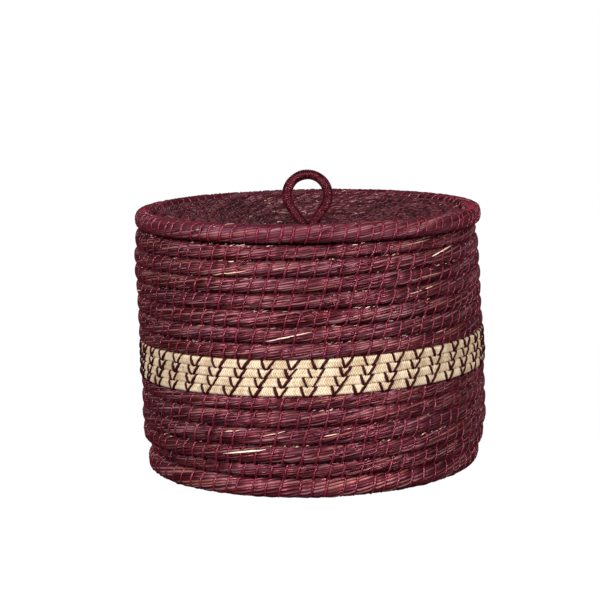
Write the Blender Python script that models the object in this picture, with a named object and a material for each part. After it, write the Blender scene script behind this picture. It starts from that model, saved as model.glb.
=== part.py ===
"""Coiled grass basket with a pale braided band and a lift-off coiled lid.

Every row is a cord wound turn upon turn. The base is a flat spiral inside the bottom row, the wall
is a right-handed winding of a dark cord, two pale braids laid side by side, and a dark cord again,
and the lid is a dished spiral inside a thick rim row that rests on the mouth. A wrapped cord loop
passes through the middle of the lid and is held by a knot below. The origin is on the table, under
the middle of the base. Lengths are metres, +Z is up, and the front of the basket faces -Y.

Cords have six flat sides with one corner up, so a cord is two ring radii high and that times
FLAT_SHARE wide. Turns are counted from the place where a winding begins.
"""
import math

import bmesh
import bpy
from mathutils import Vector

# Clear spaces between cords
TURN_GAP = 0.0005
SEAT_GAP = 0.0003
MOUTH_CLEARANCE = 0.0020

# Base and wall
WALL_RADIUS = 0.1510
BOTTOM_ROW_INSET = 0.0060
BAND_INSET = 0.0010
MOUTH_INSET = 0.0005
BOTTOM_ROW_HEIGHT = 0.0172
LOWER_ROW_HEIGHT = 0.0148
UNDER_BAND_ROW_HEIGHT = 0.0120
BAND_CORD_HEIGHT = 0.0076
UPPER_ROW_HEIGHT = 0.0136
BASE_EYE_RADIUS = 0.0020

# Lid, its rim row, its seat ring and its handle
RIM_INSET = 0.0010
RIM_CORD_HEIGHT = 0.0154
SEAT_RING_HEIGHT = 0.0120
LID_DISH_DEPTH = 0.0170
HANDLE_CORD_RADIUS = 0.0039
HANDLE_LOOP_RADIUS = 0.0180
HANDLE_RISE = 0.0315
HANDLE_LEG_DROP = 0.0158
KNOT_RADIUS = 0.0110
KNOT_HEIGHT = 0.0100
KNOT_ROUNDING = 0.0035

# Counts of rows and of turns; cords that follow on from each other part in the middle of a facet
WALL_POINTS_PER_TURN = 24
FLAT_POINTS_PER_TURN = 15
BASE_ROWS = 9
LID_ROWS = 10
WALL_LEVEL_TURN = 13.875
UNDER_BAND_TURN = 4.4375
LOWER_END_TURN = 5.4375
BAND_END_TURN = 7.4375
STEP_TURNS = 0.25
FOOT_SWELL_TURN = 1.6
WALL_LEAN_TURN = 4.0

# Tips of a winding, in turns from where it begins and from where its last turn begins
FIRST_SWELL_TURN = 0.15
FIRST_TIP_TURN = 0.35
FIRST_FULL_TURN = 0.60
LAST_FULL_TURN = 0.35
LAST_TIP_TURN = 0.58
LAST_EMPTY_TURN = 0.78

# Directions, in degrees from +X, counter-clockwise seen from above
WALL_START_ANGLE = -60.0
BASE_START_ANGLE = 100.0
LID_START_ANGLE = 60.0
ROW_JOIN_ANGLE = 97.5

# Shares and shapes of the cords
FLAT_SHARE = math.cos(math.pi / 6)
FLAT_CUT_SHARE = 0.1
CORNER_UP_TILT = math.pi / 6
CORD_SIDES_RESOLUTION = 1
HANDLE_SIDES_RESOLUTION = 2
HANDLE_ARC_POINTS = 17
HANDLE_LEG_POINTS = 4
KNOT_SIDES = 24
KNOT_BEVEL_SEGMENTS = 3

# Finishes: colour, roughness and metallic value
DYED_GRASS = ((0.130, 0.024, 0.038, 1.0), 0.62, 0.0)
PALE_BRAID = ((0.560, 0.420, 0.250, 1.0), 0.70, 0.0)
WRAPPED_CORD = ((0.110, 0.012, 0.022, 1.0), 0.50, 0.0)


def clear_scene():
    """Removes every object that the scene starts with."""
    for thing in list(bpy.data.objects):
        bpy.data.objects.remove(thing)


def finish_material(name, finish):
    """Principled material with a colour, a roughness and a metallic value."""
    colour, roughness, metallic = finish
    material = bpy.data.materials.new(name)
    material.use_nodes = True
    shader = material.node_tree.nodes["Principled BSDF"]
    shader.inputs["Base Color"].default_value = colour
    shader.inputs["Roughness"].default_value = roughness
    shader.inputs["Metallic"].default_value = metallic
    material.diffuse_color = colour
    return material


def put_in_scene(name, data, finish):
    """Object with the given data and a material of its own."""
    thing = bpy.data.objects.new(name, data)
    bpy.context.scene.collection.objects.link(thing)
    data.materials.append(finish_material(name + "_finish", finish))
    return thing


def cord_along(name, points, finish, resolution=CORD_SIDES_RESOLUTION, twist="Z_UP"):
    """Tube with closed ends along points of (x, y, z, ring radius)."""
    widest = max(point[3] for point in points)
    curve = bpy.data.curves.new(name, "CURVE")
    curve.dimensions = "3D"
    curve.twist_mode = twist
    curve.bevel_depth = widest
    curve.bevel_resolution = resolution
    curve.use_fill_caps = True
    curve.render_resolution_u = 0
    spline = curve.splines.new("POLY")
    spline.points.add(len(points) - 1)
    for spot, (x, y, z, ring) in zip(spline.points, points):
        spot.co = (x, y, z, 1.0)
        spot.radius = ring / widest
        spot.tilt = CORNER_UP_TILT
    spline.use_smooth = True
    return put_in_scene(name, curve, finish)


def eased(value, start, end):
    """Rises smoothly from nought at the start to one at the end."""
    share = min(max((value - start) / (end - start), 0.0), 1.0)
    return share * share * (3.0 - 2.0 * share)


def move_joint(sides, thicknesses, index, next_index, rise):
    """Moves the joint between a place on one turn and the same place on the next turn."""
    thicknesses[index] += rise
    sides[next_index] += rise
    thicknesses[next_index] -= rise


def lay_turns(points_per_turn, level_turn, start, full_thickness):
    """Side and thickness of a winding at each of its points.

    The first turn lies on the level start and swells from nothing to its full thickness. Each
    later turn lies on the one before it. The last turn fills up what is left below a level limit.
    Both tips are then drawn out thinner, and the turn next to each takes up the room.
    """
    sides = []
    thicknesses = []
    level_index = round(level_turn * points_per_turn)
    for index in range(level_index + points_per_turn + 1):
        turn = index / points_per_turn
        if turn < 1.0:
            side = start
            thickness = full_thickness(turn) * turn
        else:
            side = sides[index - points_per_turn] + thicknesses[index - points_per_turn]
            thickness = full_thickness(turn)
        if index > level_index:
            thickness = sides[level_index] + thicknesses[level_index] - side
        sides.append(side)
        thicknesses.append(thickness)

    for index in range(points_per_turn):
        drawn_out = 1.0 - eased(index / points_per_turn, FIRST_SWELL_TURN, FIRST_FULL_TURN)
        move_joint(sides, thicknesses, index, index + points_per_turn,
                   -drawn_out * thicknesses[index])
    for index in range(level_index, level_index + points_per_turn + 1):
        drawn_out = eased((index - level_index) / points_per_turn, LAST_FULL_TURN,
                          LAST_EMPTY_TURN)
        move_joint(sides, thicknesses, index - points_per_turn, index,
                   drawn_out * thicknesses[index])
    return sides, thicknesses


def between(first, second, share):
    """Point part of the way from one point to another."""
    return tuple(a + (b - a) * share for a, b in zip(first, second))


def stretch_of(points, points_per_turn, first_turn, last_turn):
    """Points of a winding from one turn to another, with both ends on its straight facets."""
    first_place = first_turn * points_per_turn
    last_place = last_turn * points_per_turn
    first_index = math.floor(first_place)
    last_index = math.floor(last_place)
    stretch = [between(points[first_index], points[first_index + 1], first_place - first_index)]
    stretch.extend(points[first_index + 1:last_index + 1])
    if last_place > last_index:
        stretch.append(between(points[last_index], points[last_index + 1], last_place - last_index))
    return stretch


def shorten_ends(points, length):
    """The same cord, a length shorter at each end along its own end facets."""
    shorter = list(points)
    for end, inner in ((0, 1), (-1, -2)):
        reach = (Vector(points[end][:3]) - Vector(points[inner][:3])).length
        shorter[end] = between(points[end], points[inner], length / reach)
    return shorter


def polar_point(radius, degrees, height, ring):
    """Point of a cord at a radius and an angle about the basket's axis."""
    angle = math.radians(degrees)
    return (radius * math.cos(angle), radius * math.sin(angle), height, ring)


def row_loop(radius, height, ring):
    """One turn of cord whose two ends face each other across a turn gap, behind the basket."""
    count = WALL_POINTS_PER_TURN
    step = 360.0 / count
    corners = [polar_point(radius, ROW_JOIN_ANGLE + step * (index - 0.5), height, ring)
               for index in range(count + 2)]
    loop = stretch_of(corners, 1, 0.5, count + 0.5)
    return shorten_ends(loop, TURN_GAP / 2)


def reach_along(ring, slope):
    """How far a six-sided cord reaches from its middle in a direction of its cross-section."""
    sixth = math.pi / 3
    turned = (slope - math.pi / 2 + sixth / 2) % sixth - sixth / 2
    return ring * math.cos(turned)


def gap_between(here, above):
    """Gap between two six-sided cords whose cross-sections share a plane through the axis.

    It is the widest of the clear strips across the cords' flats and across their line of middles.
    """
    outward = math.hypot(above[0], above[1]) - math.hypot(here[0], here[1])
    upward = above[2] - here[2]
    slopes = [math.atan2(upward, outward)] + [math.pi / 3 * side for side in range(6)]
    return max(outward * math.cos(slope) + upward * math.sin(slope)
               - reach_along(here[3], slope) - reach_along(above[3], slope) for slope in slopes)


def least_gap(points, points_per_turn):
    """Least gap between the turns of a winding, on its points and on its facets' middles."""
    corners = points[1:-1]
    middles = [between(a, b, 0.5) for a, b in zip(corners, corners[1:])]
    least = math.inf
    for row in (corners, middles):
        for index in range(len(row) - points_per_turn):
            least = min(least, gap_between(row[index], row[index + points_per_turn]))
    return least


def report_gap(name, points, points_per_turn):
    """Prints the least gap of a wound cord to itself, in millimetres."""
    gap = least_gap(points, points_per_turn)
    if math.isfinite(gap):
        print(f"{name}: least gap between its turns {gap / 0.001:.2f} mm")


def wound_cord(name, points, points_per_turn, finish):
    """Cord of several turns, with its least gap printed."""
    report_gap(name, points, points_per_turn)
    return cord_along(name, points, finish)


def cut_flat_below(cord):
    """Solid of a cord that stands on the table, cut off at height zero."""
    name = cord.name
    finish_slot = cord.data.materials[0]
    evaluated = cord.evaluated_get(bpy.context.evaluated_depsgraph_get())
    mesh = bpy.data.meshes.new_from_object(evaluated)
    bpy.data.objects.remove(cord)
    tidy = bmesh.new()
    tidy.from_mesh(mesh)
    bmesh.ops.remove_doubles(tidy, verts=tidy.verts, dist=SEAT_GAP / 100)
    bmesh.ops.recalc_face_normals(tidy, faces=tidy.faces)
    below = [*tidy.verts, *tidy.edges, *tidy.faces]
    cut = bmesh.ops.bisect_plane(tidy, geom=below, plane_co=(0, 0, 0), plane_no=(0, 0, 1),
                                 dist=SEAT_GAP / 1000, clear_inner=True)
    rim = [item for item in cut["geom_cut"] if isinstance(item, bmesh.types.BMEdge)]
    bmesh.ops.holes_fill(tidy, edges=rim, sides=0)
    bmesh.ops.recalc_face_normals(tidy, faces=tidy.faces)
    tidy.to_mesh(mesh)
    tidy.free()
    mesh.materials.clear()
    mesh.materials.append(finish_slot)
    mesh.shade_smooth()
    mesh.set_sharp_from_angle(angle=math.radians(65.0))
    solid = bpy.data.objects.new(name, mesh)
    bpy.context.scene.collection.objects.link(solid)
    return solid


def bottom_ring():
    """Ring radius of the bottom row, whose flat underside is on the table."""
    return (BOTTOM_ROW_HEIGHT - TURN_GAP / 2) / (2.0 - 2.0 * FLAT_CUT_SHARE)


def bottom_middle():
    """Distance from the axis to the middle of the bottom row."""
    return WALL_RADIUS - BOTTOM_ROW_INSET - bottom_ring() * FLAT_SHARE


def facet_share(points_per_turn):
    """Distance of a facet's middle from the axis, as a share of its corners' distance."""
    return math.cos(math.pi / points_per_turn)


def make_base():
    """Bottom row and, inside it, the flat spiral of the base."""
    ring = bottom_ring()
    middle = bottom_middle()
    height = cut_middle_height(middle, ring)
    cut_flat_below(cord_along("bottom_row_coil", row_loop(middle, height, ring), DYED_GRASS))

    limit = middle * facet_share(WALL_POINTS_PER_TURN) - ring * FLAT_SHARE - TURN_GAP / 2
    pitch = (limit - BASE_EYE_RADIUS) / BASE_ROWS
    points = flat_winding(BASE_ROWS, BASE_EYE_RADIUS, pitch, BASE_START_ANGLE,
                          cut_middle_height)
    cut_flat_below(wound_cord("base_coil", points, FLAT_POINTS_PER_TURN, DYED_GRASS))


def cut_middle_height(radius, ring):
    """Height of the middle of a cord, at any radius, whose underside is cut off on the table."""
    return ring * (1.0 - 2.0 * FLAT_CUT_SHARE)


def flat_winding(rows, start, pitch, start_angle, middle_height):
    """Points of a spiral that fills the ring from its start radius out, row beside row.

    A row that takes up the room of a tip keeps its own thickness and lies in the middle of it.
    """
    count = FLAT_POINTS_PER_TURN
    sides, thicknesses = lay_turns(count, rows, start, lambda turn: pitch)
    points = []
    for index, (side, thickness) in enumerate(zip(sides, thicknesses)):
        radius = side + thickness / 2
        cord_width = min(thickness, pitch)
        ring = max(cord_width * facet_share(count) - TURN_GAP, 0.0) / 2 / FLAT_SHARE
        degrees = start_angle + 360.0 * index / count
        points.append(polar_point(radius, degrees, middle_height(radius, ring), ring))
    return stretch_of(points, count, FIRST_TIP_TURN, rows + LAST_TIP_TURN)


def wall_row_height(turn):
    """Height of the wall's row, or of the pair of braids, at a turn."""
    pair = 2.0 * BAND_CORD_HEIGHT
    steps = (
        (UNDER_BAND_TURN, UNDER_BAND_ROW_HEIGHT - LOWER_ROW_HEIGHT),
        (LOWER_END_TURN, pair - UNDER_BAND_ROW_HEIGHT),
        (BAND_END_TURN, UPPER_ROW_HEIGHT - pair),
    )
    height = LOWER_ROW_HEIGHT
    for step_turn, rise in steps:
        height += rise * eased(turn, step_turn, step_turn + STEP_TURNS)
    return height


def wall_middle_radius(turn, ring, inset):
    """Distance from the axis to the middle of a wall cord of a given full ring radius.

    The wall is drawn in a little towards its mouth, and its first turn swells out from the top
    of the bottom row.
    """
    mouth_share = max((turn - WALL_LEAN_TURN) / (WALL_LEVEL_TURN - WALL_LEAN_TURN), 0.0)
    full = WALL_RADIUS - inset - MOUTH_INSET * mouth_share - ring * FLAT_SHARE
    swell = eased(turn, FIRST_TIP_TURN, FOOT_SWELL_TURN)
    return bottom_middle() + (full - bottom_middle()) * swell


def wall_points(sides, thicknesses, low_share, high_share, inset):
    """Points of a cord that takes part of the wall row's height, from one share to another."""
    points = []
    for index, (side, thickness) in enumerate(zip(sides, thicknesses)):
        turn = index / WALL_POINTS_PER_TURN
        ring = max(thickness * (high_share - low_share) - TURN_GAP, 0.0) / 2
        height = side + thickness * (low_share + high_share) / 2
        full_ring = (wall_row_height(turn) * (high_share - low_share) - TURN_GAP) / 2
        radius = wall_middle_radius(turn, full_ring, inset)
        points.append(polar_point(radius, WALL_START_ANGLE + 360.0 * turn, height, ring))
    return points


def make_wall():
    """Lower dark cord, the two pale braids and the upper dark cord. Returns the mouth's height."""
    count = WALL_POINTS_PER_TURN
    sides, thicknesses = lay_turns(count, WALL_LEVEL_TURN, BOTTOM_ROW_HEIGHT, wall_row_height)
    whole_row = wall_points(sides, thicknesses, 0.0, 1.0, 0.0)
    under_braid = wall_points(sides, thicknesses, 0.0, 0.5, BAND_INSET)
    over_braid = wall_points(sides, thicknesses, 0.5, 1.0, BAND_INSET)
    stretches = (
        ("lower_wall_coil", whole_row, FIRST_TIP_TURN, LOWER_END_TURN, DYED_GRASS),
        ("pale_braid_under", under_braid, LOWER_END_TURN, BAND_END_TURN, PALE_BRAID),
        ("pale_braid_over", over_braid, LOWER_END_TURN, BAND_END_TURN, PALE_BRAID),
        ("upper_wall_coil", whole_row, BAND_END_TURN, WALL_LEVEL_TURN + LAST_TIP_TURN, DYED_GRASS),
    )
    for name, points, first_turn, last_turn, finish in stretches:
        stretch = stretch_of(points, count, first_turn, last_turn)
        wound_cord(name, shorten_ends(stretch, TURN_GAP / 2), count, finish)
    return sides[-1] - TURN_GAP / 2


def make_lid(mouth_height):
    """Rim row, dished spiral and seat ring. Returns the rim's top and the spiral's underside."""
    rim_ring = RIM_CORD_HEIGHT / 2
    rim_middle = WALL_RADIUS - RIM_INSET - rim_ring * FLAT_SHARE
    rim_height = mouth_height + SEAT_GAP + rim_ring
    rim_top = rim_height + rim_ring
    cord_along("lid_rim_coil", row_loop(rim_middle, rim_height, rim_ring), DYED_GRASS)

    start = (handle_leg_reach() + TURN_GAP / 2) / facet_share(FLAT_POINTS_PER_TURN)
    limit = rim_middle * facet_share(WALL_POINTS_PER_TURN) - rim_ring * FLAT_SHARE - TURN_GAP / 2
    pitch = (limit - start) / LID_ROWS
    full_ring = (pitch * facet_share(FLAT_POINTS_PER_TURN) - TURN_GAP) / 2 / FLAT_SHARE

    def dished_height(radius, ring):
        """Height of the middle of a lid cord: a bowl whose lowest place is at the handle."""
        return rim_top - LID_DISH_DEPTH * (1.0 - (radius / rim_middle) ** 2) - full_ring

    points = flat_winding(LID_ROWS, start, pitch, LID_START_ANGLE, dished_height)
    wound_cord("lid_coil", points, FLAT_POINTS_PER_TURN, DYED_GRASS)

    seat_ring = SEAT_RING_HEIGHT / 2
    wall_ring = (UPPER_ROW_HEIGHT - TURN_GAP) / 2
    mouth_inner = WALL_RADIUS - MOUTH_INSET - 2.0 * wall_ring * FLAT_SHARE
    seat_middle = mouth_inner - MOUTH_CLEARANCE - seat_ring * FLAT_SHARE
    lid_underside = dished_height(seat_middle, full_ring) - full_ring
    seat_height = lid_underside - SEAT_GAP - seat_ring
    cord_along("lid_seat_ring", row_loop(seat_middle, seat_height, seat_ring), DYED_GRASS)
    return rim_top, dished_height(start + pitch / 2, full_ring) - full_ring


def handle_leg_reach():
    """Distance from the lid's axis to the outer side of a handle leg."""
    return TURN_GAP / 2 + 2.0 * HANDLE_CORD_RADIUS


def make_handle(rim_top, lid_underside):
    """Teardrop loop of wrapped cord, and the knot that holds its legs under the lid.

    The loop is a round arc about its own middle. Straight runs leave the arc along its tangents
    to the place where the legs meet, and from there the legs run down through the lid.
    """
    arc_height = rim_top + HANDLE_RISE - HANDLE_CORD_RADIUS - HANDLE_LOOP_RADIUS
    leg_x = TURN_GAP / 2 + HANDLE_CORD_RADIUS
    meet_height = rim_top - HANDLE_LEG_DROP
    knot_top = lid_underside - SEAT_GAP

    away = math.hypot(leg_x, arc_height - meet_height)
    lean = math.atan2(leg_x, arc_height - meet_height)
    opening = math.acos(HANDLE_LOOP_RADIUS / away)
    half_arc = math.pi - opening - lean

    right_side = []
    for index in range(HANDLE_LEG_POINTS):
        share = index / (HANDLE_LEG_POINTS - 1)
        height = knot_top + SEAT_GAP + (meet_height - knot_top - SEAT_GAP) * share
        right_side.append((leg_x, height))
    arc = []
    for index in range(HANDLE_ARC_POINTS):
        angle = half_arc - 2.0 * half_arc * index / (HANDLE_ARC_POINTS - 1)
        arc.append((HANDLE_LOOP_RADIUS * math.sin(angle),
                    arc_height + HANDLE_LOOP_RADIUS * math.cos(angle)))
    left_side = [(-x, height) for x, height in reversed(right_side)]
    outline = right_side + arc + left_side
    points = [(x, 0.0, height, HANDLE_CORD_RADIUS) for x, height in outline]
    cord_along("handle_loop", points, WRAPPED_CORD, HANDLE_SIDES_RESOLUTION, "MINIMUM")

    mesh = bpy.data.meshes.new("handle_knot")
    drum = bmesh.new()
    bmesh.ops.create_cone(drum, cap_ends=True, segments=KNOT_SIDES, radius1=KNOT_RADIUS,
                          radius2=KNOT_RADIUS, depth=KNOT_HEIGHT)
    drum.to_mesh(mesh)
    drum.free()
    knot = put_in_scene("handle_knot", mesh, WRAPPED_CORD)
    knot.location = (0.0, 0.0, knot_top - KNOT_HEIGHT / 2)
    rounding = knot.modifiers.new("rounding", "BEVEL")
    rounding.width = KNOT_ROUNDING
    rounding.segments = KNOT_BEVEL_SEGMENTS
    rounding.limit_method = "ANGLE"
    mesh.shade_smooth()
    mesh.set_sharp_from_angle(angle=math.radians(50.0))


def main():
    """Builds the basket and its lid."""
    clear_scene()
    make_base()
    mouth_height = make_wall()
    rim_top, lid_underside = make_lid(mouth_height)
    make_handle(rim_top, lid_underside)
    print(f"mouth {mouth_height:.4f} rim top {rim_top:.4f} underside {lid_underside:.4f}")


main()
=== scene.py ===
"""Looks of the coiled grass basket and its lid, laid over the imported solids.

Every row is a bundle of dyed straws wound turn upon turn and wrapped by one long stitching thread.
The pale band is two plaited cords side by side with dark stitches in V pairs. Lengths are metres
unless a name says otherwise, and turns are counted from the place where a winding begins.
"""
import math

import bpy
import numpy as np
from mathutils import Matrix, Vector


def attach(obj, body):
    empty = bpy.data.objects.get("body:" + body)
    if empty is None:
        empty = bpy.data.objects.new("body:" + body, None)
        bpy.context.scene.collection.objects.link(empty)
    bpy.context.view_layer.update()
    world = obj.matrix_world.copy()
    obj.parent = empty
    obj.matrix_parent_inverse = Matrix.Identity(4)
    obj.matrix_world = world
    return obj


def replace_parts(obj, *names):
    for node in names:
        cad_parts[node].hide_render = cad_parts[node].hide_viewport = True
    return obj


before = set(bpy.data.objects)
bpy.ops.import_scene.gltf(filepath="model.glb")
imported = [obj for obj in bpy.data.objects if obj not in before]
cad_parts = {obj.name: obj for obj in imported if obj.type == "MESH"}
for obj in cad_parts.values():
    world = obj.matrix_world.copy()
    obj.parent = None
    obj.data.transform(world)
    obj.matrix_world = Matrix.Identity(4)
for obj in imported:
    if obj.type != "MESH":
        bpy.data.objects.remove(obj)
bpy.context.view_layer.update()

# Sizes of the solids, as in the part's source
TURN_GAP = 0.0005
SEAT_GAP = 0.0003
MOUTH_CLEARANCE = 0.0020
WALL_RADIUS = 0.1510
BOTTOM_ROW_INSET = 0.0060
BAND_INSET = 0.0010
MOUTH_INSET = 0.0005
BOTTOM_ROW_HEIGHT = 0.0172
LOWER_ROW_HEIGHT = 0.0148
UNDER_BAND_ROW_HEIGHT = 0.0120
BAND_CORD_HEIGHT = 0.0076
UPPER_ROW_HEIGHT = 0.0136
BASE_EYE_RADIUS = 0.0020
RIM_INSET = 0.0010
RIM_RADIUS = WALL_RADIUS - RIM_INSET
RIM_CORD_HEIGHT = 0.0154
SEAT_RING_HEIGHT = 0.0120
LID_DISH_DEPTH = 0.0170
HANDLE_CORD_RADIUS = 0.0039
HANDLE_LOOP_RADIUS = 0.0180
HANDLE_RISE = 0.0315
HANDLE_LEG_DROP = 0.0158
KNOT_RADIUS = 0.0110
KNOT_HEIGHT = 0.0100
BASE_ROWS = 9
LID_ROWS = 10
WALL_LEVEL_TURN = 13.875
UNDER_BAND_TURN = 4.4375
LOWER_END_TURN = 5.4375
BAND_END_TURN = 7.4375
STEP_TURNS = 0.25
FOOT_SWELL_TURN = 1.6
WALL_LEAN_TURN = 4.0
FIRST_SWELL_TURN = 0.15
FIRST_TIP_TURN = 0.35
FIRST_FULL_TURN = 0.60
LAST_FULL_TURN = 0.35
LAST_TIP_TURN = 0.58
LAST_EMPTY_TURN = 0.78
WALL_START_ANGLE = -60.0
BASE_START_ANGLE = 100.0
LID_START_ANGLE = 60.0
ROW_JOIN_ANGLE = 97.5
FLAT_SHARE = math.cos(math.pi / 6)
FLAT_CUT_SHARE = 0.1
WALL_FACET_SHARE = math.cos(math.pi / 24)
FLAT_FACET_SHARE = math.cos(math.pi / 15)

# Bundles of grass, as they are laid and drawn out of true
PLACES_PER_TURN = 720
BLADE_HEIGHT = 0.00062
RIM_BLADE_HEIGHT = 0.00042
BLADE_SPREAD_SHARE = 0.28
BLADE_COLUMN_PLACES = np.array((0.0, 0.24, 0.72))
BLADE_COLUMN_HEIGHTS = np.array((-0.9, 0.45, 0.70))
BLADE_PROUD_SHARE = 0.9
BLADE_DRIFT_LENGTH = 0.026
BULGE = 0.00025
BULGE_LENGTH = 0.016
STRAW_TWIST = 22.0
LID_STRAW_TWIST = 55.0
SQUARENESS = 2.65
FULL_LIFT_SIZE = 0.003
BUNDLE_SINK = 0.0001
SECTION_SHARE = 0.92
TIP_SECTION_RATIO = 1.3
ROW_GAP = 0.0007
ROW_DRIFT = 0.0004
OUT_OF_ROUND = 0.0004
WALL_DRAWN_SHARE = 0.997
START_FLUSH_SHARE = 0.75
FLAT_ROW_OVERLAP = 0.0009
BASE_UP_SHARE = 0.94
BASE_EYE_FILL_RADIUS = 0.0050
MOUTH_ROW_TURN = 12.9
MOUTH_ROW_INSET = 0.0016
MOUTH_ROW_DROP = 0.0006
FOOT_LIFT = 0.0044
FOOT_LIFT_HEIGHT = 0.10
LEAN_HEIGHTS = (0.0, 0.030, 0.060, 0.100, 0.143, 0.197, 0.215)
LEAN_SHIFTS = (0.0006, 0.0030, 0.0023, 0.0017, 0.0, -0.0020, -0.0018)

# Angles around a section at which it touches its neighbours, where painted shade darkens the
# straws, and how sharply that shade ends
WALL_CONTACTS = ((-math.pi / 2, 2.3), (math.pi / 2, 4))
FLAT_CONTACTS = ((0.0, 3.5), (math.pi, 3.5))
BOTTOM_CONTACTS = ((math.pi / 2, 6),)
RIM_CONTACTS = ((-math.pi / 2, 3), (math.pi, 2))
SEAT_CONTACTS = ((math.pi / 2, 5),)

# Stitching thread
STITCH_STEP = 0.0120
RIM_STITCH_STEP = 0.0102
LID_STITCH_STEP = 0.0090
WRAP_PLACES = 18.0
THREAD_RADIUS = 0.00110
THREAD_SIDES = 5
THREAD_SINK = 0.00035
WALL_THREAD_DROOP = 0.28
STITCH_DEPTH = 0.00120
SWELL_BETWEEN_STITCHES = 0.00015

# Loose straws
STRAW_PLACES = 7
STRAW_RIDGE = 0.00045
STRAW_SECTION_RADIUS = 0.007
BUNCH_SPREAD = 0.009

# Pale band
PLAIT_RING_STEP = 0.00055
PLAIT_SIDES = 26
PLAIT_STRAND_STEP = 0.0020
PLAIT_SLANT = 1.9
PLAIT_STRAND_HEIGHT = 0.00045
PLAIT_SINK = 0.0005
PLAIT_FLATTENING = 0.0006
PLAIT_SWELL = 0.0012
BAND_PAIRS_PER_TURN = 43
BAND_PAIR_SHIFT = 0.0034
BAND_THREAD_START = 0.0020
BAND_THREAD_RADIUS = 0.00125
BAND_THREAD_SIDES = 6
BAND_THREAD_LIFT = 0.00025
BAND_THREAD_DROOP = 0.10
BAND_THREAD_CHANCE = 0.0026
BAND_THREAD_KNOTS = (0.0, 0.08, 0.41, 0.5, 0.92, 1.08, 1.41, 1.5, 1.92, 2.0)
BAND_THREAD_PLACES = (0.0, 0.0, 0.0030, 0.0035, 0.0112, 0.0112, 0.0042, 0.0039)

# Handle
LOOP_ARC_PLACES = 121
LOOP_PLACES = 780
LOOP_SMOOTH_PLACES = 25
WRAP_STEP = 0.0016
WRAP_RISE = 0.0005
KNOT_WRAP_RISE = 0.0007
KNOT_WRAPS = 3.4

UPWARD = np.array((0.0, 0.0, 1.0))
FULL_TURN = 2.0 * math.pi
TABLE_CLEARANCE = 0.0002
MILLIMETRES = 1000.0
BUNDLE_GRAIN_REACH = 7.0
PLAIT_GRAIN_REACH = 3.6


# Random drift and the windings

def eased(share):
    """Smooth step of a share: 3 s^2 - 2 s^3, held between nought and one."""
    held = np.clip(share, 0.0, 1.0)
    return held * held * (3.0 - 2.0 * held)


def drift(place, seed, row=None, rows=1):
    """Slow random drift from -1 to 1: random heights at whole places, with eased slopes between.

    With a row number for each place, each row has random heights of its own.
    """
    whole = np.floor(place).astype(int)
    row = np.zeros_like(whole) if row is None else row
    heights = np.random.default_rng(seed).uniform(-1.0, 1.0, (rows, int(whole.max()) + 2))
    start, end = heights[row, whole], heights[row, whole + 1]
    return start + (end - start) * eased(place - whole)


def lay_turns(level_turn, start, full_thickness):
    """Side and thickness of a winding: each turn's side is the side plus the thickness of the turn
    before it. The first turn swells from nothing, and the last fills up to a level limit. Both tips
    are then drawn out thinner, and the turn next to each takes up the room."""
    count = PLACES_PER_TURN
    level = round(level_turn * count)
    turn = np.arange(level + count) / count
    thickness = full_thickness(turn) * np.minimum(turn, 1.0)
    side = np.full(len(turn), float(start))
    for first in range(count, len(turn), count):
        here = np.arange(first, min(first + count, len(turn)))
        side[here] = side[here - count] + thickness[here - count]
    limit = side[level] + thickness[level]
    thickness[level:] = limit - side[level:]

    tip = np.arange(count)
    drawn_out = 1.0 - eased((turn[tip] - FIRST_SWELL_TURN) / (FIRST_FULL_TURN - FIRST_SWELL_TURN))
    move_joints(side, thickness, tip, tip + count, -drawn_out * thickness[tip])
    tip = np.arange(level, level + count)
    past = turn[tip] - level_turn - LAST_FULL_TURN
    drawn_out = eased(past / (LAST_EMPTY_TURN - LAST_FULL_TURN))
    move_joints(side, thickness, tip - count, tip, drawn_out * thickness[tip])
    return turn, side, thickness


def move_joints(side, thickness, here, above, rise):
    """Moves the joints between places on one turn and the same places on the next by a rise."""
    thickness[here] += rise
    side[above] += rise
    thickness[above] -= rise


def cord_path(radius, degrees, height, half_side, half_up, contacts):
    """Line of a wound cord: middles at radius and angle about the axis, the way outwards, the
    section's half sizes, and the length along it as the sum of the steps so far. Contacts are the
    angles around the section, outwards being nought, at which it touches its neighbours and where
    painted shade darkens the straws' colour."""
    angle = np.radians(degrees)
    outward = np.stack([np.cos(angle), np.sin(angle), np.zeros_like(angle)], 1)
    middle = outward * np.reshape(radius, (-1, 1))
    middle[:, 2] = height
    steps = np.linalg.norm(np.diff(middle, axis=0), axis=1)
    along = np.concatenate([[0.0], np.cumsum(steps)])
    full = np.ones(len(angle))
    return {"middle": middle, "outward": outward, "half_side": half_side * full,
            "half_up": half_up * full, "along": along, "contacts": contacts}


def points_at(place, lengths, points):
    """Points or ways of a line at places along it, read off straight between its own."""
    return np.stack([np.interp(place, lengths, points[:, axis]) for axis in range(3)], -1)


def vectors(*parts):
    """Array of vectors from an array or value for each of the three axes."""
    return np.stack(np.broadcast_arrays(*parts), -1)


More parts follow.
